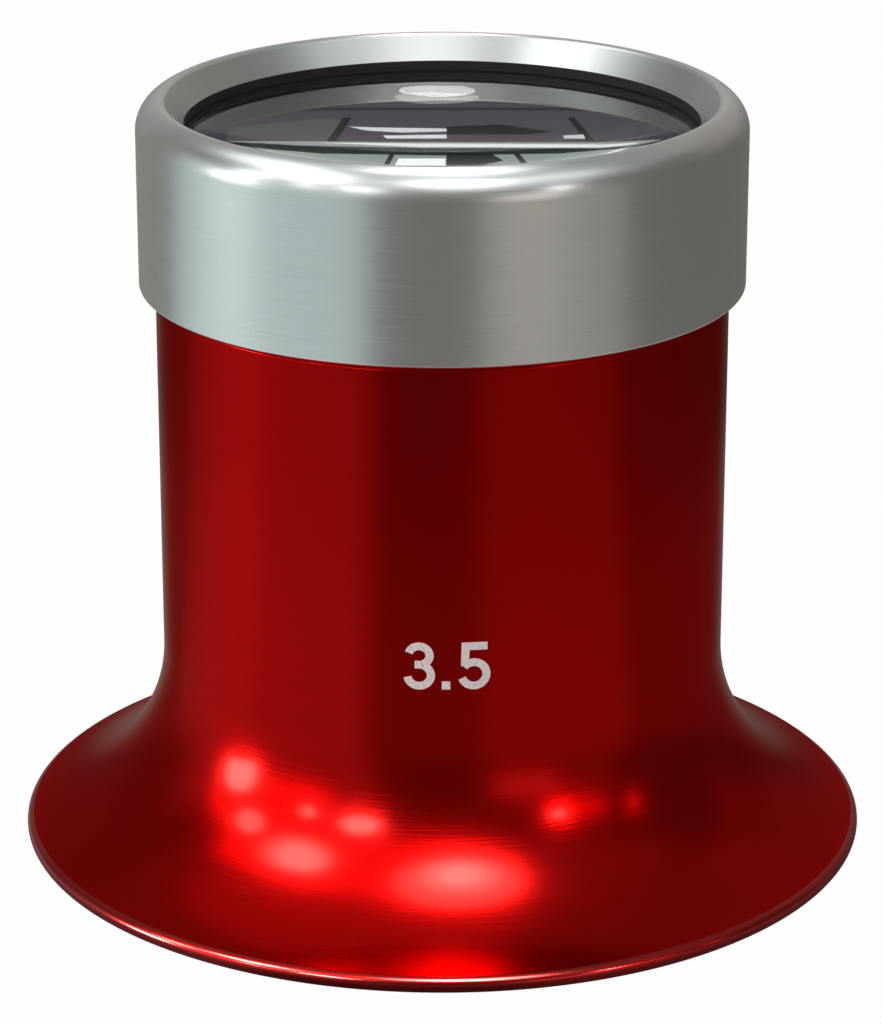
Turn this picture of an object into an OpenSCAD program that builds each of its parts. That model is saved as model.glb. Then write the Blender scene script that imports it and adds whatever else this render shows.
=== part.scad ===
// Watchmaker's inspection loupe. One turned tube flares into an eye cup, and a screw ring
// clamps a plano-convex lens on the end of the tube, flat side out, over a thin seat washer.
// Millimetres, +Z up. The origin is on the axis, in the plane that the eye cup's rim rests on.
// Every piece is turned, so each is one outline in the plane of radius and height.

/* [Lens] */
// Diameter of the lens, which sets the bores, the thread and the tube around it
lens_d = 24.4; // [20:0.1:28]
// Thickness of the lens on its axis
lens_t = 4; // [3:0.1:4.6]
// Focal length of the lens, 3.5 inches
focal_length = 89; // [60:1:130]
// Refractive index of the glass
glass_index = 1.52; // [1.5:0.01:1.6]
// Ground bevel around both edges of the lens
lens_bevel = 0.15; // [0.05:0.05:0.25]

/* [Seat washer] */
// Thickness of the washer under the lens
washer_t = 0.4; // [0.2:0.05:0.6]
// How far the seat and its washer reach in under the lens
seat_hold = 0.8; // [0.6:0.05:1.2]

/* [Thread] */
// Pitch of the thread
thread_pitch = 0.75; // [0.5:0.25:1]
// Radial room for the lens to pass through the ring's thread
lens_pass = 0.02; // [0.01:0.01:0.1]
// How far the grooves at the thread's ends lie below its roots
groove_clear = 0.08; // [0.04:0.02:0.16]
// Width of the groove at the shoulder, where the spigot's thread runs out
spigot_groove_w = 0.8; // [0.5:0.1:1.2]
// Width of the groove where the ring's thread runs out
ring_groove_w = 0.9; // [0.6:0.1:1.2]
// Chamfer on the spigot's end
spigot_chamfer = 0.25; // [0.1:0.05:0.4]
// Chamfer where the thread starts inside the ring's skirt
skirt_chamfer = 0.3; // [0.1:0.05:0.4]

/* [Screw ring] */
// Height of the ring
ring_h = 8.7; // [8:0.1:10]
// Wall of the ring outside its thread
ring_wall = 1.39; // [1.2:0.01:2]
// Radius of the ring's top outer edge
ring_edge_r = 1.5; // [1:0.1:1.6]
// Radius of the crest, where that edge turns over into the bevel
crest_r = 0.35; // [0.2:0.05:0.5]
// Round on the skirt's bottom outer edge
skirt_edge_r = 0.15; // [0.05:0.05:0.3]
// How far the ring's lip reaches in over the lens
lip_hold = 0.4; // [0.25:0.05:0.7]
// Height of the lip's straight wall, below the bevel
lip_h = 0.5; // [0.3:0.05:0.8]
// Tilt of the bevel around the mouth, up from level
bevel_tilt = 51.7; // [45:0.1:60]
// Depth of the bevel's lower edge below the ring's top
bevel_depth = 1.17; // [0.8:0.01:1.3]

/* [Tube] */
// Height of the shoulder under the screw ring
shoulder_z = 26.65; // [22:0.05:34]
// Width of the shoulder, from the thread's pitch line out to the tube's side
shoulder_w = 0.69; // [0.5:0.01:1.2]
// Wall of the tube
tube_wall = 1.3; // [1:0.05:1.7]
// Chamfer on the shoulder's outer edge
shoulder_chamfer = 0.15; // [0.05:0.05:0.3]
// How far the narrow bore reaches below the shoulder
sight_depth = 1.4; // [1:0.1:3]

/* [Eye cup] */
// Diameter of the rim
rim_d = 40; // [38:0.5:42]
// Thickness of the rim's rounded edge
rim_edge = 0.84; // [0.4:0.04:1]
// Width of the flat that the rim rests on
rim_land = 0.6; // [0.4:0.05:1]
// Radius of the curve that runs from the tube out to the rim
flare_r = 8.8; // [8:0.1:9.6]

/* [Clearances] */
// Radial clearance between the ring's thread and the spigot's
thread_fit = 0.05; // [0.02:0.01:0.1]
// Radial clearance around the lens in the ring
pocket_fit = 0.1; // [0.05:0.01:0.15]
// Clearance between the glass and what it seats on
seat_fit = 0.03; // [0.02:0.01:0.1]
// Gap between the ring's skirt and the shoulder
skirt_gap = 0.2; // [0.1:0.05:0.4]
// Room between the spigot's end and the ring's lens pocket
spigot_room = 0.3; // [0.2:0.05:0.5]

/* [Hidden] */
$fn = 180;
// How far a cutting outline runs past what it cuts
over = 1;
// A length taken down to a ten-thousandth below it, so that two curves meant to touch always meet
function meet(v) = floor(10000 * v) / 10000 - 0.0001;

// Both threads are plain cylinders here, at the thread's pitch line, which lies half its depth from a crest
half_thread = 0.32 * thread_pitch;
groove_depth = half_thread + groove_clear;

// Radii are set out from the lens: its pocket, the thread around that, then the ring and the tube
lens_r = lens_d / 2;
mouth_r = lens_r - lip_hold;
sight_r = lens_r - seat_hold;
pocket_r = lens_r + pocket_fit;
spigot_r = pocket_r + lens_pass + half_thread;
ring_bore_r = spigot_r + thread_fit;
ring_r = ring_bore_r + ring_wall;
tube_r = spigot_r + shoulder_w;
bore_r = tube_r - tube_wall;

// Heights of the ring, from the shoulder up
ring_z = shoulder_z + skirt_gap;
ring_top = ring_z + ring_h;
bevel_z = ring_top - bevel_depth;
lip_z = bevel_z - lip_h;

// The crest's circle touches the bevel, and the edge's circle touches it from outside where they meet
crest_z = ring_top - crest_r;
crest_x = meet(mouth_r + (crest_z - bevel_z) / tan(bevel_tilt) + crest_r / sin(bevel_tilt));
crest_c = [crest_x, crest_z];
edge_x = ring_r - ring_edge_r;
edge_c = [edge_x, meet(crest_z - sqrt(pow(ring_edge_r - crest_r, 2) - pow(crest_x - edge_x, 2)))];

// A lens of this focal length with one flat face has its round face on this radius
face_r = (glass_index - 1) * focal_length;
function sag(r) = face_r - sqrt(face_r * face_r - r * r);

// The stack is set out downwards from the ring's lip: glass, washer, end of the spigot
lens_top = lip_z - seat_fit;
lens_bottom = lens_top - lens_t;
washer_z = lens_bottom + sag(sight_r) - seat_fit - washer_t;
spigot_top = washer_z;
ring_groove_top = spigot_top + spigot_room;

// The eye cup's outer curve runs from the tube's side to a tangent on the rim's rounded edge. The inner one
// runs from the bore to the flat land. Both have their centre on one radius, at different heights.
rim_r = rim_d / 2;
nose_r = rim_edge / 2;
nose_x = rim_r - nose_r;
land_r = nose_x - rim_land;
flare_x = tube_r + flare_r;
inner_flare_r = flare_r + tube_wall;
flare_z = meet(nose_r + sqrt(pow(flare_r + nose_r, 2) - pow(flare_x - nose_x, 2)));
inner_flare_z = sqrt(pow(inner_flare_r, 2) - pow(flare_x - land_r, 2));
nose_touch = nose_r * (flare_x - nose_x) / (flare_r + nose_r);

// Full outline of the eye cup, solid to the axis
module cup_outline() {
    difference() {
        union() {
            square([nose_x, flare_z]);
            translate([nose_x, nose_r]) square([nose_touch, flare_z - nose_r]);
        }
        translate([flare_x, flare_z]) circle(flare_r);
    }
    translate([nose_x, nose_r]) circle(nose_r);
}

// Tube above the eye cup, with its shoulder and the spigot
module tube_outline() {
    polygon([
        [0, flare_z],
        [tube_r, flare_z],
        [tube_r, shoulder_z - shoulder_chamfer],
        [tube_r - shoulder_chamfer, shoulder_z],
        [spigot_r - groove_depth, shoulder_z],
        [spigot_r - groove_depth, shoulder_z + spigot_groove_w],
        [spigot_r, shoulder_z + spigot_groove_w + groove_depth],
        [spigot_r, spigot_top - spigot_chamfer],
        [spigot_r - spigot_chamfer, spigot_top],
        [0, spigot_top]
    ]);
}

// Everything inside the barrel, from the eye to the lens
module hollow_outline() {
    difference() {
        translate([0, -over]) square([nose_x, inner_flare_z + over]);
        translate([flare_x, inner_flare_z]) circle(inner_flare_r);
    }
    polygon([
        [0, 0],
        [bore_r, 0],
        [bore_r, shoulder_z - sight_depth - (bore_r - sight_r)],
        [sight_r, shoulder_z - sight_depth],
        [sight_r, spigot_top + over],
        [0, spigot_top + over]
    ]);
}

module barrel() {
    color("#a80a0c")
    rotate_extrude() difference() {
        union() {
            cup_outline();
            tube_outline();
        }
        hollow_outline();
    }
}

module seat_washer() {
    color("#1c1c1c")
    rotate_extrude() translate([sight_r, washer_z]) square([seat_hold, washer_t]);
}

// Flat above and round below, cut to a ground edge with small bevels
module lens() {
    bevel_r = lens_r - lens_bevel;
    bottom_edge = lens_bottom + sag(bevel_r);
    color("#dfeeee", 0.4)
    rotate_extrude() intersection() {
        translate([0, lens_bottom + face_r]) circle(face_r);
        polygon([
            [0, lens_bottom - over],
            [bevel_r, lens_bottom - over],
            [bevel_r, bottom_edge],
            [lens_r, bottom_edge + lens_bevel],
            [lens_r, lens_top - lens_bevel],
            [bevel_r, lens_top],
            [0, lens_top]
        ]);
    }
}

// Outside of the ring, solid to the axis: side, skirt's round, top edge and crest
module ring_outline() {
    way = 2 * ring_edge_r / (ring_edge_r - crest_r) * (crest_c - edge_c);
    bevel_end = crest_z + crest_r * cos(bevel_tilt);
    translate([0, ring_z]) square([ring_r - skirt_edge_r, ring_h / 2]);
    translate([0, ring_z + skirt_edge_r]) square([ring_r, edge_c.y - ring_z - skirt_edge_r]);
    translate([ring_r - skirt_edge_r, ring_z + skirt_edge_r]) circle(skirt_edge_r);
    intersection() {
        translate(edge_c) circle(ring_edge_r);
        polygon([
            edge_c,
            edge_c + [0, -2 * ring_edge_r],
            edge_c + [2 * ring_edge_r, -2 * ring_edge_r],
            edge_c + [2 * ring_edge_r, way.y],
            edge_c + way
        ]);
    }
    translate(crest_c) circle(crest_r);
    polygon([
        [0, ring_z + ring_h / 2],
        [edge_c.x + crest_r, edge_c.y - crest_r],
        crest_c,
        [crest_c.x, bevel_end],
        [0, bevel_end]
    ]);
}

// Inside of the ring, from the skirt up: threaded bore, groove, lens pocket, lip and bevelled mouth
module ring_hollow() {
    polygon([
        [0, ring_z - over],
        [ring_bore_r + skirt_chamfer, ring_z - over],
        [ring_bore_r + skirt_chamfer, ring_z],
        [ring_bore_r, ring_z + skirt_chamfer],
        [ring_bore_r, ring_groove_top - ring_groove_w],
        [ring_bore_r + groove_depth, ring_groove_top - ring_groove_w],
        [ring_bore_r + groove_depth, ring_groove_top],
        [pocket_r, ring_groove_top],
        [pocket_r, lip_z],
        [mouth_r, lip_z],
        [mouth_r, bevel_z],
        [mouth_r + bevel_depth / tan(bevel_tilt), ring_top],
        [mouth_r + bevel_depth / tan(bevel_tilt), ring_top + over],
        [0, ring_top + over]
    ]);
}

module screw_ring() {
    color("#b9bcba")
    rotate_extrude() difference() {
        ring_outline();
        ring_hollow();
    }
}

barrel();
seat_washer();
lens();
screw_ring();
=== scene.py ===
"""Looks of the inspection loupe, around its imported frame. Metres, +Z up, and the loupe's axis is Z."""

import cmath
from math import atan2, ceil, cos, degrees, pi, radians, sin, sqrt, tan

import bmesh
import bpy
import numpy as np
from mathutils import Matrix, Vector


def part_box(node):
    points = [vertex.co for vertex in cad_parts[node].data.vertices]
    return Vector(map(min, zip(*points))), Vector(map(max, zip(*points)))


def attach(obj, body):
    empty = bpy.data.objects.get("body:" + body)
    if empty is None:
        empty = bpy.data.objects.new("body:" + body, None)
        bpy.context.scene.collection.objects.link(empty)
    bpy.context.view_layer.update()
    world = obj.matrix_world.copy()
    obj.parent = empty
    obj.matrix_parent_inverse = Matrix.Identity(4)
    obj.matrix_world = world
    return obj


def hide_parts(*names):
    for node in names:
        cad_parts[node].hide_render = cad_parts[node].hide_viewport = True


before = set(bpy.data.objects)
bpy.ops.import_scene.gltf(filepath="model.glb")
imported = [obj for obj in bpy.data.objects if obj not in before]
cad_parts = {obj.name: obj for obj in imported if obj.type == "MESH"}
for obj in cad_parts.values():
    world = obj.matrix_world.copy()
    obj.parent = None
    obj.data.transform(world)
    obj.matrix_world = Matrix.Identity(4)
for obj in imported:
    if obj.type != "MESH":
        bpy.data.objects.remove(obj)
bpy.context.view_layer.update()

# Everything below is in millimetres until a mesh is written
MM = 0.001

# Sizes that the frame gives
rim_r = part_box("barrel")[1].x / MM
spigot_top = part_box("barrel")[1].z / MM
ring_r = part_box("screw_ring")[1].x / MM
ring_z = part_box("screw_ring")[0].z / MM
ring_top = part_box("screw_ring")[1].z / MM
lens_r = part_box("lens")[1].x / MM
lens_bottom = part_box("lens")[0].z / MM
lens_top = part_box("lens")[1].z / MM
washer_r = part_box("seat_washer")[1].x / MM
washer_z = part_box("seat_washer")[0].z / MM
washer_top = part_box("seat_washer")[1].z / MM

# Lens: flat above, round below
face_r = 46.28
lens_bevel = 0.15

# Thread. A crest or a root lies thread_share of the pitch from the pitch line.
pitch = 0.75
thread_share = 0.32
groove_clear = 0.08
thread_fit = 0.05
pocket_fit = 0.1
lens_pass = 0.02
half_thread = thread_share * pitch
groove_depth = half_thread + groove_clear
pocket_r = lens_r + pocket_fit
spigot_r = pocket_r + lens_pass + half_thread
ring_bore_r = spigot_r + thread_fit
spigot_groove_w = 0.8
spigot_chamfer = 0.25
ring_groove_w = 0.9
ring_groove_top = spigot_top + 0.3
skirt_chamfer = 0.3

# Ring
ring_edge = 1.5
skirt_edge = 0.15
crest = 0.35
lip_hold = 0.4
lip_h = 0.5
bevel_tilt = 51.7
bevel_depth = 1.17
mouth_r = lens_r - lip_hold
bevel_z = ring_top - bevel_depth
lip_z = bevel_z - lip_h

# Tube, with the narrow bore under the lens
skirt_gap = 0.2
shoulder_w = 0.69
shoulder_chamfer = 0.15
tube_wall = 1.3
sight_depth = 1.4
seat_hold = 0.8
shoulder_z = ring_z - skirt_gap
tube_r = spigot_r + shoulder_w
bore_r = tube_r - tube_wall
sight_r = lens_r - seat_hold
sight_z = shoulder_z - sight_depth

# Eye cup
nose_r = 0.42
rim_land = 0.6
flare_r = 8.8
nose_x = rim_r - nose_r
land_r = nose_x - rim_land
flare_x = tube_r + flare_r

# Sizes of the small rounds on edges
EDGE = 0.05
LAND_EDGE = 0.15
SHOULDER_EDGE = 0.06
GROOVE_EDGE = 0.1
MOUTH_EDGE = 0.04
GLASS_EDGE = 0.02
WASHER_EDGE = 0.08

# How finely a turned piece is cut up: round the axis, along straight strokes and along a thread
SEGMENTS = 288
STRAIGHT_STEP = 2.0
THREAD_STEP = pitch / 14


def straight(start, end, step=STRAIGHT_STEP):
    """A straight stroke of an outline: its length, its point and direction at a distance, and its step."""
    length = abs(end - start)
    way = (end - start) / length
    return length, lambda s: (start + way * s, way), step


def bow(centre, radius, start, turn, step=3.0):
    """A round stroke from the angle start, in degrees. A positive turn runs anticlockwise."""
    sense = 1 if turn > 0 else -1

    def at(s):
        out = cmath.rect(1, radians(start) + sense * s / radius)
        return centre + radius * out, out * 1j * sense

    return radius * radians(abs(turn)), at, radius * radians(step)


def run(corners):
    """Straight strokes from each corner to the next.

    A corner is (radius, height, round, finish, is thread). The last one only ends the run."""
    strokes = []
    for (r, z, size, finish, is_thread), (next_r, next_z, *_) in zip(corners, corners[1:]):
        step = THREAD_STEP if is_thread else STRAIGHT_STEP
        strokes.append((straight(complex(r, z), complex(next_r, next_z), step), size, finish, is_thread))
    return strokes


def corner(start, start_way, end, end_way, size):
    """Points and directions of the round between two strokes, a row for every 15 degrees or less."""
    turn = cmath.phase(end_way / start_way)
    reach = 4 / 3 * tan(abs(turn) / 4) * size
    a, b, c, d = start, start + start_way * reach, end - end_way * reach, end
    rows = []
    count = max(2, ceil(abs(degrees(turn)) / 15))
    for i in range(1, count):
        t = i / count
        point = (1 - t) ** 3 * a + 3 * (1 - t) ** 2 * t * b + 3 * (1 - t) * t * t * c + t ** 3 * d
        slope = (1 - t) ** 2 * (b - a) + 2 * (1 - t) * t * (c - b) + t * t * (d - c)
        rows.append((point, slope / abs(slope)))
    return rows


def trims(strokes, closed):
    """How much the round at the start of each stroke takes off it. A bend that is slight gets no round."""
    slight = 0.02
    cuts = []
    for i, (curve, size, _, _) in enumerate(strokes):
        before = strokes[i - 1][0]
        turn = cmath.phase(curve[1](0)[1] / before[1](before[0])[1])
        cuts.append(0 if abs(turn) < slight or (i == 0 and not closed) else size * tan(abs(turn) / 2))
    return cuts


def outline(strokes, closed=True):
    """Rows of (point, direction, finish, is thread) along an outline, with the solid on the left.

    A stroke is (curve, round at its start, finish, is thread)."""
    cuts = trims(strokes, closed)
    rows = []
    for i, ((length, at, step), _, finish, is_thread) in enumerate(strokes):
        following = (i + 1) % len(strokes)
        last = not closed and following == 0
        stop = length - (0 if last else cuts[following])
        count = max(1, ceil((stop - cuts[i]) / step))
        for j in range(count + 1):
            point, way = at(cuts[i] + (stop - cuts[i]) * j / count)
            rows.append((point, way, finish, is_thread))
        if last:
            break
        (_, next_at, _), next_size, next_finish, _ = strokes[following]
        if cuts[following] > 0:
            end, end_way = next_at(cuts[following])
            for p, w in corner(rows[-1][0], rows[-1][1], end, end_way, next_size):
                rows.append((p, w, next_finish, False))
        else:
            rows.pop()
    return rows


def thread_surface(thread, height, angles, side):
    """Radius of a thread, and how far its normal points outwards, upwards and along it."""
    nudge = 0.002
    radius = thread(height, angles)
    rise = (thread(height + nudge, angles) - thread(height - nudge, angles)) / (2 * nudge)
    swing = (thread(height, angles + nudge) - thread(height, angles - nudge)) / (2 * nudge)
    size = np.sqrt(1 + rise ** 2 + (swing / radius) ** 2)
    return radius, side / size, -side * rise / size, -side * swing / radius / size


def swept(rows, thread):
    """Points, in metres, and true normals of an outline swept round Z."""
    angles = np.arange(SEGMENTS) * 2 * pi / SEGMENTS
    radius = np.array([[max(p.real, 0.0)] for p, _, _, _ in rows]) + 0 * angles
    height = np.array([[p.imag] for p, _, _, _ in rows]) + 0 * angles
    out = np.array([[w.imag] for _, w, _, _ in rows]) + 0 * angles
    up = np.array([[-w.real] for _, w, _, _ in rows]) + 0 * angles
    along = np.zeros_like(radius)
    for i, (_, way, _, is_thread) in enumerate(rows):
        if is_thread:
            side = 1 if way.imag > 0 else -1
            radius[i], out[i], up[i], along[i] = thread_surface(thread, height[i], angles, side)
    c, s = np.cos(angles), np.sin(angles)
    points = np.stack([radius * c, radius * s, height], -1) * MM
    normals = np.stack([out * c - along * s, out * s + along * c, up], -1)
    return points.reshape(-1, 3), normals.reshape(-1, 3)


def strips(index, rows, closed):
    """The faces between neighbouring rows of points, and each one's finish. Equal corners fall together."""
    faces, marks = [], []
    for i in range(len(rows) if closed else len(rows) - 1):
        low, high = index[i], index[(i + 1) % len(rows)]
        for j in range(SEGMENTS):
            k = (j + 1) % SEGMENTS
            face = [low[j], low[k], high[k], high[j]]
            faces.append([v for n, v in enumerate(face) if v != face[n - 1]])
            marks.append(rows[i][2])
    return faces, marks


def placed(name, data):
    """A new object in the scene."""
    obj = bpy.data.objects.new(name, data)
    bpy.context.scene.collection.objects.link(obj)
    return obj


def turned(name, strokes, finishes, thread=None, closed=True):
    """A turned piece: the outline of radius and height swept round Z. An open outline ends on the axis."""
    rows = outline(strokes, closed)
    points, normals = swept(rows, thread)
    index = np.arange(len(rows) * SEGMENTS).reshape(len(rows), SEGMENTS)
    if not closed:
        index[0] = index[0, 0]
        index[-1] = index[-1, 0]
    faces, marks = strips(index, rows, closed)
    used = np.unique(index)
    renumber = np.zeros(index.size, int)
    renumber[used] = np.arange(len(used))
    mesh = bpy.data.meshes.new(name)
    mesh.from_pydata(points[used].tolist(), [], [[int(renumber[v]) for v in f] for f in faces])
    mesh.polygons.foreach_set("use_smooth", [True] * len(faces))
    for finish in finishes:
        mesh.materials.append(finish)
    mesh.polygons.foreach_set("material_index", marks)
    mesh.validate()
    mesh.normals_split_custom_set_from_vertices(normals[used].tolist())
    return placed(name, mesh)


def thread_height(z, angle):
    """How far a right-hand thread stands out of its pitch line.

    Its flanks are at 60 degrees to each other, and its crests and roots are flat."""
    sharp_height = 0.866 * pitch
    phase = (z / pitch - angle / (2 * pi)) % 1.0
    flank = sharp_height * (np.abs(phase - 0.5) * 2 - 0.5)
    return np.clip(flank, -half_thread, half_thread)


def spigot_thread(z, angle):
    """Radius of the spigot's thread, cut off by the groove's side and by the chamfer at the top."""
    full = spigot_r + thread_height(z, angle)
    from_groove = spigot_r - groove_depth + np.maximum(z - shoulder_z - spigot_groove_w, 0)
    from_top = spigot_r - spigot_chamfer + np.maximum(spigot_top - z, 0)
    return np.minimum(full, np.minimum(from_groove, from_top))


def ring_thread(z, angle):
    """Radius of the ring's inner thread, cut off by the skirt's chamfer."""
    full = ring_bore_r + thread_height(z, angle)
    return np.maximum(full, ring_bore_r + skirt_chamfer - np.maximum(z - ring_z, 0))


def make_barrel(red, black, edge_red):
    """Anticlockwise from the rim: eye cup outside, tube, spigot, then the bores and the cup inside."""
    outside, inside, nose = range(3)
    flare_c = complex(flare_x, nose_r + sqrt((flare_r + nose_r) ** 2 - (flare_x - nose_x) ** 2))
    nose_c = complex(nose_x, nose_r)
    touch = degrees(cmath.phase(flare_c - nose_c))
    inner_r = flare_r + tube_wall
    inner_c = complex(flare_x, sqrt(inner_r ** 2 - (flare_x - land_r) ** 2))
    land = 180 + degrees(atan2(inner_c.imag, flare_x - land_r))
    groove_r = spigot_r - groove_depth
    groove_z = shoulder_z + spigot_groove_w
    end_r = spigot_r - spigot_chamfer
    cone_z = sight_z - (bore_r - sight_r)
    strokes = run([(land_r, 0, LAND_EDGE, outside, False), (nose_x, 0)])
    strokes.append((bow(nose_c, nose_r, -90, 90 + touch, step=6), 0, nose, False))
    strokes.append((bow(flare_c, flare_r, 180 + touch, -touch, step=1.5), 0, outside, False))
    strokes += run([
        (tube_r, flare_c.imag, 0, outside, False),
        (tube_r, shoulder_z - shoulder_chamfer, SHOULDER_EDGE, outside, False),
        (tube_r - shoulder_chamfer, shoulder_z, SHOULDER_EDGE, outside, False),
        (groove_r, shoulder_z, GROOVE_EDGE, outside, False),
        (groove_r, groove_z, 0, outside, True),
        (end_r, spigot_top, 0, outside, False),
        (sight_r, spigot_top, EDGE, inside, False),
        (sight_r, sight_z, EDGE, inside, False),
        (bore_r, cone_z, EDGE, inside, False),
        (bore_r, inner_c.imag),
    ])
    strokes.append((bow(inner_c, inner_r, 180, land - 180, step=2), 0, inside, False))
    return turned("barrel_turning", strokes, [red, black, edge_red], spigot_thread)


def make_ring(metal, bevel_metal, black):
    """Anticlockwise from the skirt: side, round edge, crest, bevel, then lip, pocket and thread inside."""
    satin, bevel, dark = range(3)
    groove_r = ring_bore_r + groove_depth
    groove_z = ring_groove_top - ring_groove_w
    chamfer_r = ring_bore_r + skirt_chamfer
    slope = cmath.rect(1, radians(bevel_tilt))
    crest_z = ring_top - crest
    crest_r = mouth_r + (crest_z - bevel_z) * slope.real / slope.imag + crest / slope.imag
    crest_c = complex(crest_r, crest_z)
    side_r = ring_r - ring_edge
    edge_c = complex(side_r, crest_z - sqrt((ring_edge - crest) ** 2 - (crest_r - side_r) ** 2))
    meet = degrees(cmath.phase(crest_c - edge_c))
    bevel_top = crest_c + crest * 1j * slope
    strokes = run([
        (chamfer_r, ring_z, 0, satin, False),
        (ring_r, ring_z, skirt_edge, satin, False),
        (ring_r, edge_c.imag),
    ])
    strokes.append((bow(edge_c, ring_edge, 0, meet), 0, satin, False))
    strokes.append((bow(crest_c, crest, meet, 90 + bevel_tilt - meet, step=6), 0, satin, False))
    strokes += run([
        (bevel_top.real, bevel_top.imag, 0, bevel, False),
        # The lip's wall and its underside take the same near-black as the tube's inside, so they show dark
        # round the lens.
        (mouth_r, bevel_z, MOUTH_EDGE, dark, False),
        (mouth_r, lip_z, EDGE, dark, False),
        (pocket_r, lip_z, EDGE, satin, False),
        (pocket_r, ring_groove_top, EDGE, satin, False),
        (groove_r, ring_groove_top, EDGE, satin, False),
        (groove_r, groove_z, EDGE, satin, False),
        (ring_bore_r, groove_z, 0, satin, True),
        (chamfer_r, ring_z),
    ])
    return turned("screw_ring_turning", strokes, [metal, bevel_metal, black], ring_thread)


def make_lens(glass, ground):
    """From the bottom of the round face outwards and back over the flat one."""
    polished, rough = range(2)
    bevel_r = lens_r - lens_bevel
    half = degrees(atan2(bevel_r, sqrt(face_r ** 2 - bevel_r ** 2)))
    low = lens_bottom + face_r - sqrt(face_r ** 2 - bevel_r ** 2)
    face_c = complex(0, lens_bottom + face_r)
    strokes = [(bow(face_c, face_r, -90, half, step=0.4), 0, polished, False)]
    strokes += run([
        (bevel_r, low, GLASS_EDGE, rough, False),
        (lens_r, low + lens_bevel, EDGE, rough, False),
        (lens_r, lens_top - lens_bevel, EDGE, rough, False),
        (bevel_r, lens_top, GLASS_EDGE, polished, False),
        (0, lens_top),
    ])
    return turned("lens_glass", strokes, [glass, ground], closed=False)


def make_washer(fibre):
    """It clears the narrow bore by a hair, so that the two don't share a wall."""
    inner = sight_r + 0.01
    places = [(inner, washer_z), (washer_r, washer_z), (washer_r, washer_top), (inner, washer_top)]
    corners = [(r, z, WASHER_EDGE, 0, False) for r, z in places]
    return turned("seat_washer_disc", run(corners + corners[:1]), [fibre])


def new_material(name):
    """A material, its nodes and links, and its Principled shader."""
    material = bpy.data.materials.new(name)
    material.use_nodes = True
    tree = material.node_tree
    return material, tree.nodes, tree.links, tree.nodes["Principled BSDF"]


def principled(shader, **values):
    for name, value in values.items():
        shader.inputs[name.replace("_", " ")].default_value = value


def math_node(nodes, links, operation, a, b=0.0):
    node = nodes.new("ShaderNodeMath")
    node.operation = operation
    for socket, value in zip(node.inputs, (a, b)):
        if isinstance(value, (int, float)):
            socket.default_value = value
        else:
            links.new(value, socket)
    return node.outputs[0]


def factor(noise):
    """The grey output of a noise, whose name differs between versions."""
    return noise.outputs["Fac"] if "Fac" in noise.outputs else noise.outputs["Factor"]


def turning_marks(nodes, links, spacing, streak):
    """Noise that runs round the axis in streaks, as a tool or a brush leaves it on a turned piece.

    Spacing is how many marks there are in a millimetre, streak how often one changes on its way round."""
    place = nodes.new("ShaderNodeTexCoord").outputs["Object"]
    split = nodes.new("ShaderNodeSeparateXYZ")
    links.new(place, split.inputs[0])
    x, y, z = split.outputs
    square = math_node(nodes, links, "ADD", math_node(nodes, links, "MULTIPLY", x, x),
                       math_node(nodes, links, "MULTIPLY", y, y))
    radius = math_node(nodes, links, "MAXIMUM", math_node(nodes, links, "SQRT", square), 1e-5)
    point = nodes.new("ShaderNodeCombineXYZ")
    for socket, value in zip(point.inputs, (x, y)):
        turn = math_node(nodes, links, "DIVIDE", value, radius)
        links.new(math_node(nodes, links, "MULTIPLY", turn, streak), socket)
    links.new(math_node(nodes, links, "MULTIPLY", z, spacing / MM), point.inputs[2])
    noise = nodes.new("ShaderNodeTexNoise")
    noise.noise_dimensions = "4D"
    noise.inputs["Scale"].default_value = 1.0
    noise.inputs["Detail"].default_value = 2.0
    links.new(point.outputs[0], noise.inputs["Vector"])
    links.new(math_node(nodes, links, "MULTIPLY", radius, spacing / MM), noise.inputs["W"])
    return factor(noise)


def cloud(nodes, links, scale, detail=3.0):
    """Soft uneven noise. Scale is in patches to a millimetre."""
    noise = nodes.new("ShaderNodeTexNoise")
    noise.inputs["Scale"].default_value = scale / MM
    noise.inputs["Detail"].default_value = detail
    links.new(nodes.new("ShaderNodeTexCoord").outputs["Object"], noise.inputs["Vector"])
    return factor(noise)


def roughness(nodes, links, shader, noise, low, high):
    """Roughness from low to high over the middle of a noise's range."""
    node = nodes.new("ShaderNodeMapRange")
    links.new(noise, node.inputs["Value"])
    for name, number in (("From Min", 0.3), ("From Max", 0.7), ("To Min", low), ("To Max", high)):
        node.inputs[name].default_value = number
    links.new(node.outputs["Result"], shader.inputs["Roughness"])


def tones(nodes, links, shader, noise, dark, light, start=0.3, end=0.7):
    """Base colour from dark to light, as a noise goes from start to end."""
    node = nodes.new("ShaderNodeValToRGB")
    for element, position, colour in zip(node.color_ramp.elements, (start, end), (dark, light)):
        element.position = position
        element.color = (*colour, 1)
    links.new(noise, node.inputs[0])
    links.new(node.outputs["Color"], shader.inputs["Base Color"])


def bump(nodes, links, shader, height, strength, distance):
    node = nodes.new("ShaderNodeBump")
    node.inputs["Strength"].default_value = strength
    node.inputs["Distance"].default_value = distance * MM
    links.new(height, node.inputs["Height"])
    links.new(node.outputs["Normal"], shader.inputs["Normal"])


def round_brushing(nodes, links, shader, amount):
    """Grooves that run round the axis, which spread a highlight across them."""
    tangent = nodes.new("ShaderNodeTangent")
    tangent.direction_type = "RADIAL"
    tangent.axis = "Z"
    links.new(tangent.outputs["Tangent"], shader.inputs["Tangent"])
    principled(shader, Anisotropic=amount, Anisotropic_Rotation=0.25)


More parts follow.
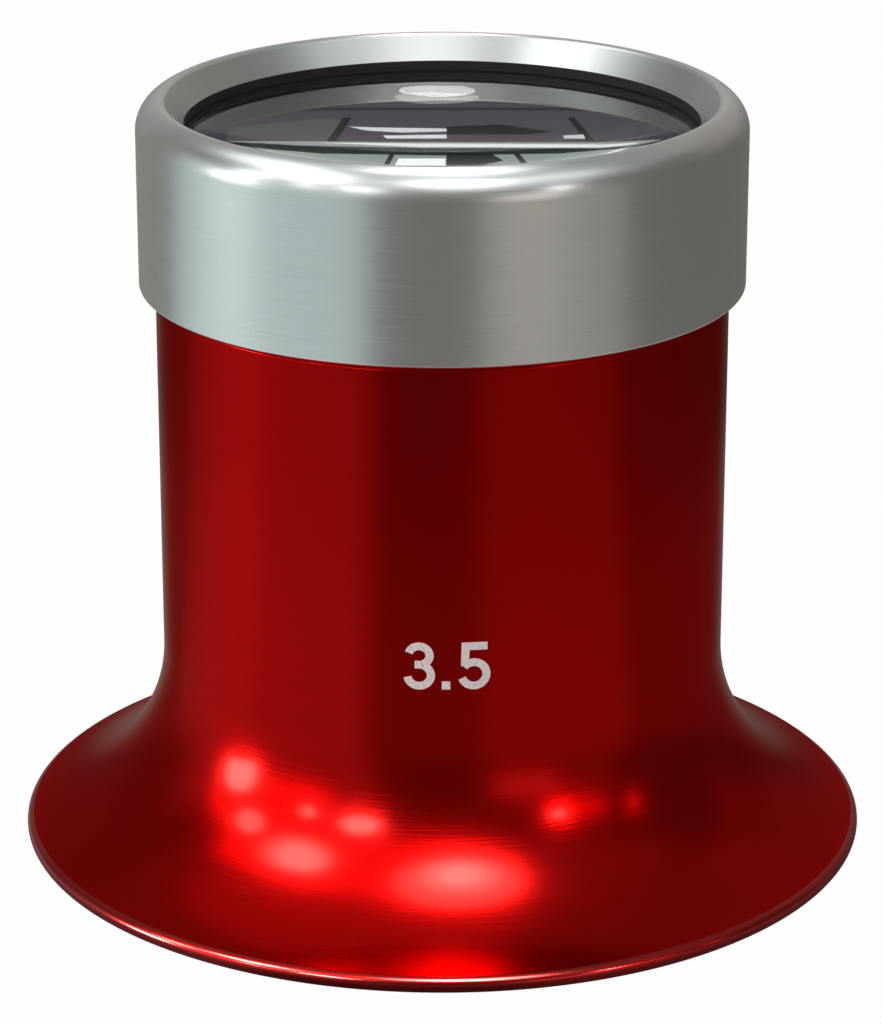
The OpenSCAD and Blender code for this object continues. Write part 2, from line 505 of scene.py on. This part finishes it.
def anodised_red(name, rough, coat):
    material, nodes, links, shader = new_material(name)
    marks = turning_marks(nodes, links, spacing=12.0, streak=3.0)
    dark, light = (0.4, 0.0004, 0.0004), (0.43, 0.0006, 0.0006)
    tones(nodes, links, shader, marks, dark, light, start=0.25, end=0.75)
    roughness(nodes, links, shader, marks, rough - 0.01, rough + 0.01)
    principled(shader, Metallic=1.0, Coat_Weight=coat, Coat_Roughness=0.15, Coat_IOR=1.6)
    principled(shader, Specular_Tint=(0.6, 0.3, 0.26, 1))
    round_brushing(nodes, links, shader, 0.3)
    bump(nodes, links, shader, marks, strength=0.5, distance=0.01)
    return material


def satin_aluminium(name, rough, amount, shade=1.0):
    material, nodes, links, shader = new_material(name)
    marks = turning_marks(nodes, links, spacing=26.0, streak=3.0)
    # A shade below 1 darkens the whole colour: a painted shade, which the bevel takes so that the lamps
    # mirrored in it show less bright.
    dark, light = Vector((0.7, 0.72, 0.71)) * shade, Vector((0.76, 0.78, 0.77)) * shade
    tones(nodes, links, shader, marks, dark, light, start=0.25, end=0.75)
    roughness(nodes, links, shader, marks, rough - 0.03, rough + 0.03)
    principled(shader, Metallic=1.0)
    round_brushing(nodes, links, shader, amount)
    bump(nodes, links, shader, marks, strength=0.06, distance=0.01)
    return material


def black_inside():
    material, nodes, links, shader = new_material("black_inside")
    marks = turning_marks(nodes, links, spacing=4.0, streak=2.0)
    tones(nodes, links, shader, marks, (0.008, 0.008, 0.008), (0.016, 0.015, 0.015))
    roughness(nodes, links, shader, marks, 0.5, 0.65)
    bump(nodes, links, shader, marks, strength=0.4, distance=0.02)
    return material


def lens_glass():
    material, nodes, links, shader = new_material("lens_glass")
    tones(nodes, links, shader, cloud(nodes, links, scale=0.2), (0.985, 0.995, 0.99), (1.0, 1.0, 1.0))
    principled(shader, Roughness=0.0, IOR=1.52, Transmission_Weight=1.0)
    return material


def ground_glass():
    material, nodes, links, shader = new_material("ground_glass")
    grit = cloud(nodes, links, scale=12.0)
    tones(nodes, links, shader, grit, (0.03, 0.033, 0.032), (0.07, 0.075, 0.073))
    principled(shader, Roughness=0.6, IOR=1.52)
    bump(nodes, links, shader, grit, strength=0.3, distance=0.01)
    return material


def washer_fibre():
    material, nodes, links, shader = new_material("washer_fibre")
    fibres = cloud(nodes, links, scale=5.0, detail=6.0)
    tones(nodes, links, shader, fibres, (0.018, 0.018, 0.018), (0.045, 0.043, 0.04))
    principled(shader, Roughness=0.85)
    bump(nodes, links, shader, fibres, strength=0.5, distance=0.02)
    return material


def white_print():
    material, nodes, links, shader = new_material("white_print")
    grain = cloud(nodes, links, scale=9.0, detail=4.0)
    tones(nodes, links, shader, grain, (0.62, 0.55, 0.54), (0.82, 0.74, 0.73), end=0.6)
    principled(shader, Roughness=0.6)
    bump(nodes, links, shader, grain, strength=0.3, distance=0.01)
    return material


# Printed number, on the front of the tube. It is drawn flat first, in x and height.
PRINT_THICKNESS = 0.02
PRINT_SINK = 0.01
PRINT_CUT = 0.15
STROKE_W = 0.36
DIGIT_H = 2.24
NUMBER_Z = 11.72


def band(points):
    """A closed prism along a line of points, as wide as a stroke of the number."""
    ways = []
    for i in range(len(points)):
        ahead = points[min(i + 1, len(points) - 1)] - points[max(i - 1, 0)]
        ways.append(ahead / abs(ahead))
    sides = [p + 0.5j * STROKE_W * w for p, w in zip(points, ways)]
    sides += [p - 0.5j * STROKE_W * w for p, w in zip(reversed(points), reversed(ways))]
    return prism(sides)


def prism(sides):
    """A closed prism over an outline of points, from -1 to 1 in depth."""
    mesh = bmesh.new()
    front = [mesh.verts.new((p.real, -1, p.imag)) for p in sides]
    back = [mesh.verts.new((p.real, 1, p.imag)) for p in sides]
    mesh.faces.new(front)
    mesh.faces.new(reversed(back))
    for i in range(len(sides)):
        mesh.faces.new((front[i - 1], back[i - 1], back[i], front[i]))
    bmesh.ops.recalc_face_normals(mesh, faces=mesh.faces)
    made = bpy.data.meshes.new("stroke")
    mesh.to_mesh(made)
    mesh.free()
    return made


def sweep_points(centre, wide, high, start, turn, count=28):
    """Points on an ellipse, from the angle start through a turn, in degrees."""
    angles = [radians(start + turn * i / count) for i in range(count + 1)]
    return [centre + complex(wide * cos(a), high * sin(a)) for a in angles]


def joined(meshes):
    """One solid from several that overlap."""
    objects = [placed("stroke", mesh) for mesh in meshes]
    for other in objects[1:]:
        union = objects[0].modifiers.new("union", "BOOLEAN")
        union.operation = "UNION"
        union.solver = "EXACT"
        union.object = other
    evaluated = objects[0].evaluated_get(bpy.context.evaluated_depsgraph_get())
    result = bpy.data.meshes.new_from_object(evaluated)
    for obj in objects:
        bpy.data.objects.remove(obj)
    return result


def digit_3(left, low, wide, high):
    """Two bowls that share the bar in the middle. The lower one is the larger."""
    half = STROKE_W / 2
    middle = low + high * 0.53
    top_c = complex(left + wide * 0.5, (middle + low + high) / 2)
    low_c = complex(left + wide * 0.5, (middle + low) / 2)
    top_high = (low + high - middle) / 2 - half + STROKE_W / 4
    low_high = (middle - low) / 2 - half + STROKE_W / 4
    top = sweep_points(top_c - 0.25j * STROKE_W, wide * 0.46 - half, top_high, 165, -235)
    low_bowl = sweep_points(low_c + 0.25j * STROKE_W, wide * 0.5 - half, low_high, -170, 240)
    bar = [complex(left + wide * 0.36, middle), complex(left + wide * 0.6, middle)]
    return joined([band(top), band(low_bowl), band(bar)])


def digit_5(left, low, wide, high):
    """A bar, a stem that leans a little, and a round bowl."""
    half = STROKE_W / 2
    bowl_r = wide * 0.52
    bowl_c = complex(left + wide * 0.48, low + bowl_r)
    bowl = sweep_points(bowl_c, bowl_r - half, bowl_r - half, 142, -302)
    bar = [complex(left + wide * 0.9, low + high - half), complex(left + wide * 0.19, low + high - half)]
    stem = [
        complex(left + wide * 0.19 + 0.04, low + high - 0.01),
        complex(left + wide * 0.07 + half, low + high * 0.5),
    ]
    return joined([band(bowl), band(bar), band(stem)])


def point_dot(left, low, size):
    right, top = left + size, low + size
    return prism([complex(left, low), complex(right, low), complex(right, top), complex(left, top)])


def wrapped(name, meshes, finish):
    """Joins flat solids and lays them round the tube, facing -Y, cut into strips so that they bend."""
    whole = bmesh.new()
    for mesh in meshes:
        whole.from_mesh(mesh)
    low = min(v.co.x for v in whole.verts)
    high = max(v.co.x for v in whole.verts)
    cuts = ceil((high - low) / PRINT_CUT)
    for i in range(1, cuts):
        place = Vector((low + (high - low) * i / cuts, 0, 0))
        everything = whole.verts[:] + whole.edges[:] + whole.faces[:]
        bmesh.ops.bisect_plane(whole, geom=everything, plane_co=place, plane_no=(1, 0, 0))
    for v in whole.verts:
        turn = v.co.x / tube_r
        radius = tube_r - PRINT_SINK if v.co.y > 0 else tube_r + PRINT_THICKNESS
        v.co = Vector((radius * sin(turn), -radius * cos(turn), v.co.z)) * MM
    bmesh.ops.recalc_face_normals(whole, faces=whole.faces)
    made = bpy.data.meshes.new(name)
    whole.to_mesh(made)
    whole.free()
    made.materials.append(finish)
    return placed(name, made)


def make_number(finish):
    digits = [
        digit_3(-1.74, NUMBER_Z, 1.41, DIGIT_H),
        point_dot(-0.03, NUMBER_Z + 0.02, 0.38),
        digit_5(0.72, NUMBER_Z, 1.42, DIGIT_H),
    ]
    return wrapped("power_number", digits, finish)


def direction(azimuth, elevation):
    """Unit vector. The azimuth is taken from the front, which is -Y, towards +X."""
    a, e = radians(azimuth), radians(elevation)
    return Vector((sin(a) * cos(e), -cos(a) * cos(e), sin(e)))


# Stage: the floor, the lamps, and the surroundings that the metal and the glass reflect. The dome of the
# surroundings and the floor's glow end at FAR, the panels stand at BEHIND, and the lamps hang at LAMPS.
FAR = 3000.0
BEHIND = 2600.0
LAMPS = 2700.0
PANEL_STEP = 4
LAMP_STEP = 12.0
RING_HEIGHT = 30.0

# Soft areas of light around the object, which add up: azimuths, elevations, width of the soft edge, colour,
# brightness. On the floor, an elevation is the angle at which the ring sees that spot.
AREAS = {
    "all_round": ((-360, 360), (-100, 100), 1, (1, 0.93, 0.85), 0.16),
    "left_wall": ((-112, -26), (-95, 20), 12, (0.76, 0.97, 1), 0.44),
    "left_window": ((-98, -70), (-95, 8), 10, (0.93, 1, 0.99), 0.12),
    "left_back": ((-200, -112), (-95, 30), 12, (0.95, 1, 0.95), 0.1),
    "right_wall": ((13, 68), (-95, 14), 10, (1, 0.94, 0.86), 0.15),
    "right_spot": ((20, 43), (-4, 12), 9, (1, 0.9, 0.85), 0.85),
    "right_back": ((115, 200), (8, 40), 14, (1, 0.88, 0.78), 0.13),
    "near_floor": ((-360, 360), (-95, -25), 5, (1, 0.97, 0.94), 0.13),
    "ceiling": ((-360, 360), (34, 100), 16, (0.86, 1, 1), 0.16),
    "panel": ((-95, 92), (34, 68), 10, (0.9, 1, 1), 0.08),
    "back_wall": ((140, 220), (-3, 30), 12, (0.9, 0.85, 1), 0.08),
}


def within(value, span, soft):
    """From 0 to 1 across the soft edges of a span."""
    t = min(1.0, max(0.0, min(value - span[0], span[1] - value) / soft + 0.5))
    return t * t * (3 - 2 * t)


def surroundings(azimuth, elevation):
    """Colour of the light from a direction."""
    total = Vector((0, 0, 0))
    for azimuths, elevations, soft, colour, strength in AREAS.values():
        amount = max(within(azimuth + turn, azimuths, soft) for turn in (-360, 0, 360))
        total += Vector(colour) * strength * amount * within(elevation, elevations, soft)
    return total


def bare_material(name):
    """An empty material for the stage, with its nodes and links."""
    material = bpy.data.materials.new(name)
    material.use_nodes = True
    material.node_tree.nodes.clear()
    return material, material.node_tree.nodes, material.node_tree.links


def reflected_only(name, mesh, colours):
    """A glowing stage piece that only reflections and the lens show."""
    glow_map = mesh.color_attributes.new("glow", "FLOAT_COLOR", "POINT")
    for point, colour in zip(glow_map.data, colours):
        point.color = (*colour, 1)
    material, nodes, links = bare_material(name)
    glow = nodes.new("ShaderNodeEmission")
    painted = nodes.new("ShaderNodeAttribute")
    painted.attribute_name = "glow"
    links.new(painted.outputs["Color"], glow.inputs["Color"])
    links.new(glow.outputs[0], nodes.new("ShaderNodeOutputMaterial").inputs["Surface"])
    mesh.materials.append(material)
    obj = placed(name, mesh)
    obj.visible_camera = False
    obj.visible_diffuse = False
    obj.visible_shadow = False


def net(azimuths, rows, place):
    """A mesh over a net of azimuths and rows, with place(azimuth, row) in millimetres."""
    verts = [place(a, row) * MM for row in rows for a in azimuths]
    count = len(azimuths)
    faces = []
    for i in range(len(rows) - 1):
        for j in range(count - 1):
            k = i * count + j
            faces.append((k, k + 1, k + count + 1, k + count))
    mesh = bpy.data.meshes.new("net")
    mesh.from_pydata(verts, [], faces)
    return mesh


def make_surroundings():
    """A dome over the scene and a glow just under the floor, which starts outside the eye cup, so that its
    dark middle paints the loupe's shadow.
    """
    azimuths = list(range(-180, 181, 3))
    elevations = list(range(0, 91, 3))
    dome = net(azimuths, elevations, lambda a, e: direction(a, e) * FAR)
    reflected_only("dome", dome, [surroundings(a, e) for e in elevations for a in azimuths])
    glow_start = 21
    soft_start = 6
    spots = [0, 10, 19, 22, 26, 32, 40, 48, 56, 64, 70, 76, 84, 95, 120, 160, 240, 400, 800, FAR]
    seen = [-degrees(atan2(RING_HEIGHT, max(r, 1))) for r in spots]
    under = Vector((0, 0, -0.02))
    floor_glow = net(azimuths, spots, lambda a, r: direction(a, 0) * r + under)
    # Painted shadow: the glow is dark under the eye cup and fades in just outside its rim, where the loupe
    # shades the floor.
    shade = [within(r, (glow_start, FAR * 2), soft_start) for r in spots]
    colours = [surroundings(a, e) * k for e, k in zip(seen, shade) for a in azimuths]
    reflected_only("floor_glow", floor_glow, colours)


# The picture that the camera takes: its middle and its focal length, in pixels
MIDDLE_X = 441.9
MIDDLE_Y = 511.5
FOCAL = 3992.3

# Panels of the room behind the loupe, which the flat face of the lens mirrors. Each has the corners that its
# image has in the picture, in pixels, and its colour. A later panel stands in front of an earlier one.
PANELS = {
    "room": ([(170, 112), (170, 75), (720, 75), (720, 112), (700, 170), (190, 170)], (0.21, 0.185, 0.235)),
    "cornice": ([(215, 112), (330, 107), (560, 107), (640, 112), (560, 110), (330, 110)], (0.1, 0.09, 0.12)),
    "grey_wall": ([(230, 126), (330, 118), (345, 120), (330, 141), (225, 141)], (0.27, 0.27, 0.27)),
    "left_post": ([(343, 117), (351, 117), (336, 141), (326, 141)], (0.03, 0.03, 0.04)),
    "right_post": ([(567, 117), (574, 117), (594, 140), (585, 140)], (0.03, 0.03, 0.04)),
    "upper_tube": (
        [(348, 126), (380, 127), (446, 128), (446, 131), (400, 132), (365, 130)],
        (2.2, 2.2, 2.4)),
    "lower_tube": ([(382, 135), (446, 134), (446, 138), (386, 138)], (2.4, 2.4, 2.5)),
    "dark_wedge": ([(446, 126), (500, 124), (552, 131), (530, 134), (446, 134)], (0.02, 0.02, 0.03)),
    "small_window": ([(562, 135), (583, 134), (585, 138), (564, 138)], (2.0, 2.0, 2.1)),
    "sill": (
        [(222, 140.5), (420, 141.5), (600, 142), (662, 139), (640, 144), (600, 148), (420, 147.5),
         (300, 145)],
        (1.0, 1.1, 1.05)),
    "sill_shine": (
        [(315, 142), (420, 143), (600, 144), (640, 142), (625, 145), (600, 147), (420, 146.5)],
        (2.6, 2.8, 2.8)),
    "sill_shadow": (
        [(225, 142), (300, 145.5), (420, 147.5), (615, 148), (560, 153), (440, 155), (320, 153), (260, 148)],
        (0.06, 0.09, 0.07)),
    "green_wall": (
        [(228, 143.5), (260, 148), (320, 153), (440, 155), (560, 153), (620, 148), (690, 138), (700, 170),
         (200, 170)],
        (0.85, 1.05, 0.95)),
    "left_bar": ([(390, 152), (395, 152), (388, 166), (382, 166)], (0.03, 0.05, 0.05)),
    "right_bar": ([(512, 152), (518, 152), (529, 165), (522, 165)], (0.03, 0.05, 0.05)),
    "window": ([(398, 158), (445, 158), (445, 165), (394, 165)], (3.2, 3.4, 3.3)),
    "low_wedge": ([(446, 152), (490, 153), (503, 160), (480, 165), (446, 165)], (0.02, 0.04, 0.04)),
}


def mirrored(x, y, far):
    """Where the sight line through a pixel meets a plane behind the loupe, once the lens has mirrored it."""
    camera = bpy.context.scene.camera
    start = camera.location / MM
    aim = Vector(((x - MIDDLE_X) / FOCAL, (MIDDLE_Y - y) / FOCAL, -1))
    aim.rotate(camera.rotation_quaternion)
    face = start + aim * ((lens_top - start.z) / aim.z)
    reach = (far - face.y) / aim.y
    return Vector((face.x + aim.x * reach, far, face.z - aim.z * reach)) * MM


def make_panels():
    for i, (corners, colour) in enumerate(PANELS.values()):
        mesh = bpy.data.meshes.new("panel")
        verts = [mirrored(x, y, BEHIND - PANEL_STEP * i) for x, y in corners]
        mesh.from_pydata(verts, [], [tuple(range(len(verts)))])
        reflected_only("panel_" + str(i), mesh, [colour] * len(verts))


def lamp(name, azimuth, elevation, width, tall, strength, lights=None, colour=(1, 1, 1)):
    """A soft lamp. It fills width by tall degrees, and its strength is its brightness.

    It lights everything, or the objects of one collection. Each lamp hangs a little nearer than the one
    before, because of two lamps at one distance a ray meets only one."""
    data = bpy.data.lights.new(name, "AREA")
    reach = (LAMPS - LAMP_STEP * len(bpy.data.lights)) * MM
    data.shape = "ELLIPSE"
    data.size = 2 * reach * tan(radians(width / 2))
    data.size_y = 2 * reach * tan(radians(tall / 2))
    area = pi * data.size * data.size_y / 4
    data.energy = strength * pi * area
    data.color = colour
    obj = placed(name, data)
    way = direction(azimuth, elevation)
    obj.location = way * reach
    obj.rotation_mode = "QUATERNION"
    obj.rotation_quaternion = way.to_track_quat("Z", "Y")
    obj.visible_camera = False
    if lights:
        obj.light_linking.receiver_collection = lights


def lit_alone(name, piece):
    """A collection for lamps that light only one piece."""
    collection = bpy.data.collections.new(name)
    collection.objects.link(piece)
    return collection


def seen_rays(nodes, links):
    """1 for a ray from the camera or one that metal or glass sends on, 0 for one that lights something."""
    path = nodes.new("ShaderNodeLightPath")
    glossy, through = path.outputs["Is Glossy Ray"], path.outputs["Is Transmission Ray"]
    sent_on = math_node(nodes, links, "MAXIMUM", glossy, through)
    return math_node(nodes, links, "MAXIMUM", path.outputs["Is Camera Ray"], sent_on)


def make_floor():
    """A pale floor that looks almost white to the camera. What is left of its paint shows the shadow."""
    half = 3.0
    shade = 0.85
    whiteness = 0.97
    drop = 0.01
    mesh = bpy.data.meshes.new("floor")
    mesh.from_pydata([(-half, -half, 0), (half, -half, 0), (half, half, 0), (-half, half, 0)], [],
                     [(0, 1, 2, 3)])
    material, nodes, links = bare_material("floor")
    paint = nodes.new("ShaderNodeBsdfDiffuse")
    paint.inputs["Color"].default_value = (shade, shade, shade, 1)
    glow = nodes.new("ShaderNodeEmission")
    mix = nodes.new("ShaderNodeMixShader")
    links.new(math_node(nodes, links, "MULTIPLY", seen_rays(nodes, links), whiteness), mix.inputs["Fac"])
    links.new(paint.outputs[0], mix.inputs[1])
    links.new(glow.outputs[0], mix.inputs[2])
    links.new(mix.outputs[0], nodes.new("ShaderNodeOutputMaterial").inputs["Surface"])
    mesh.materials.append(material)
    obj = placed("floor", mesh)
    obj.location.z = -drop * MM
    obj.visible_glossy = False


def make_world():
    """White behind everything, and a softer light from all round."""
    ambient = 0.5
    world = bpy.data.worlds.new("studio")
    bpy.context.scene.world = world
    world.use_nodes = True
    nodes, links = world.node_tree.nodes, world.node_tree.links
    nodes.clear()
    background = nodes.new("ShaderNodeBackground")
    extra = math_node(nodes, links, "MULTIPLY", seen_rays(nodes, links), 1 - ambient)
    links.new(math_node(nodes, links, "ADD", extra, ambient), background.inputs["Strength"])
    links.new(background.outputs[0], nodes.new("ShaderNodeOutputWorld").inputs["Surface"])


def make_camera():
    """The photograph's viewpoint, found by fitting the loupe's outline."""
    aim = Vector((0, 0, 15.388))
    elevation = 19.554
    distance = 188.465
    data = bpy.data.cameras.new("camera")
    data.sensor_width = 36.0
    data.lens = 140.355
    data.shift_x = -0.00139
    data.clip_start = 0.01
    camera = placed("camera", data)
    back = direction(0, elevation)
    camera.location = (aim + back * distance) * MM
    camera.rotation_mode = "QUATERNION"
    camera.rotation_quaternion = back.to_track_quat("Z", "Y")
    bpy.context.scene.camera = camera


tube_red = anodised_red("anodised_red", 0.23, 0.06)
nose_red = anodised_red("anodised_edge", 0.2, 0.5)
matt_black = black_inside()
barrel = make_barrel(tube_red, matt_black, nose_red)
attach(barrel, "tube")
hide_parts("barrel")

satin_side = satin_aluminium("satin_aluminium", 0.3, 0.5)
# The bevel is rougher and less brushed than the side, and its colour is darkened to 0.8: a painted shade
# against the lamps mirrored in it.
bevel_satin_and_shade = satin_aluminium("bevel_satin_and_shade", 0.36, 0.4, 0.8)
ring = make_ring(satin_side, bevel_satin_and_shade, matt_black)
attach(ring, "ring")
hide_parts("screw_ring")

lens = make_lens(lens_glass(), ground_glass())
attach(lens, "glass")
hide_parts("lens")

washer = make_washer(washer_fibre())
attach(washer, "tube")
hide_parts("seat_washer")

number = make_number(white_print())
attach(number, "tube")

make_camera()
make_world()
make_floor()
make_surroundings()
make_panels()

# Lamps that light everything: azimuth, elevation, width, height, strength
ROOM_LAMPS = {
    "lamp_a": (-82.5, 5.3, 18, 18, 4),
    "lamp_b": (-77.5, 26.7, 11, 11, 5),
    "lamp_c": (-52.3, 21.3, 6, 6, 7),
    "lamp_d": (-31.7, 27.2, 14, 10, 5),
    "lamp_e": (-60.5, 44, 20, 22, 2.8),
    "lamp_f": (8, 56, 34, 34, 1.7),
    "lamp_g": (45, 21.9, 5, 5, 14),
    "lamp_back": (178, 63, 12, 8, 5),
}
for name, values in ROOM_LAMPS.items():
    lamp(name, *values)

# The red anodising is dark and shines strongly, so it shows lamps that the rest would hardly need. Each has
# its azimuth, elevation, width, height, its strength in the anodising's own red and that in the white shine.
SHINES = [
    (-82.5, 5.3, 14, 16, 10, 52),
    (-77.5, 26.7, 10, 10, 6, 32),
    (-52.3, 21.3, 5, 5, 16, 48),
    (-31.7, 27.2, 13, 9, 12, 56),
    (-61, 42.5, 25, 18, 4, 12),
    (-60.5, 44, 15, 14, 6, 36),
    (-60.5, 44, 20, 22, 1.2, 1.2),
    (8, 60, 31, 30, 4, 12),
    (8, 56, 21, 20, 4, 22),
    (8, 56, 34, 34, 1.8, 1.8),
    (8, 55, 12, 11, 4, 38),
    (45, 21.9, 4, 4, 32, 42),
    (76.4, 18, 3, 9, 5, 1),
    (-28, 50, 60, 34, 1.3, 0.1),
    (-60, 75, 80, 50, 0.35, 0.1),
    (-68, 19, 52, 27, 2, 0.1),
    (-72, 40, 36, 17, 2.4, 0.1),
    (53, 19, 24, 8, 2.4, 0.1),
]
on_red = lit_alone("on_red", barrel)
for azimuth, elevation, width, tall, red, white in SHINES:
    lamp("shine", azimuth, elevation, width, tall, white, on_red, (red / white, 1, 0.86))

# Boxes of soft light in a row above the ring, azimuth and strength, and one lamp behind it
SOFT_BOXES = {-112: 1.3, -75: 1.6, -30: 0.3, 15: 0.2, 60: 0.8}
on_ring = lit_alone("on_ring", ring)
for azimuth, strength in SOFT_BOXES.items():
    lamp("soft_box", azimuth, 55, 30, 24, strength, on_ring, (0.95, 1, 1.04))
lamp("above", 180, 80, 26, 18, 3.6, on_ring)

on_glass = lit_alone("on_glass", lens)
lamp("glint", 178, 68, 11, 8, 15, on_glass)

scene = bpy.context.scene
scene.view_settings.view_transform = "Standard"
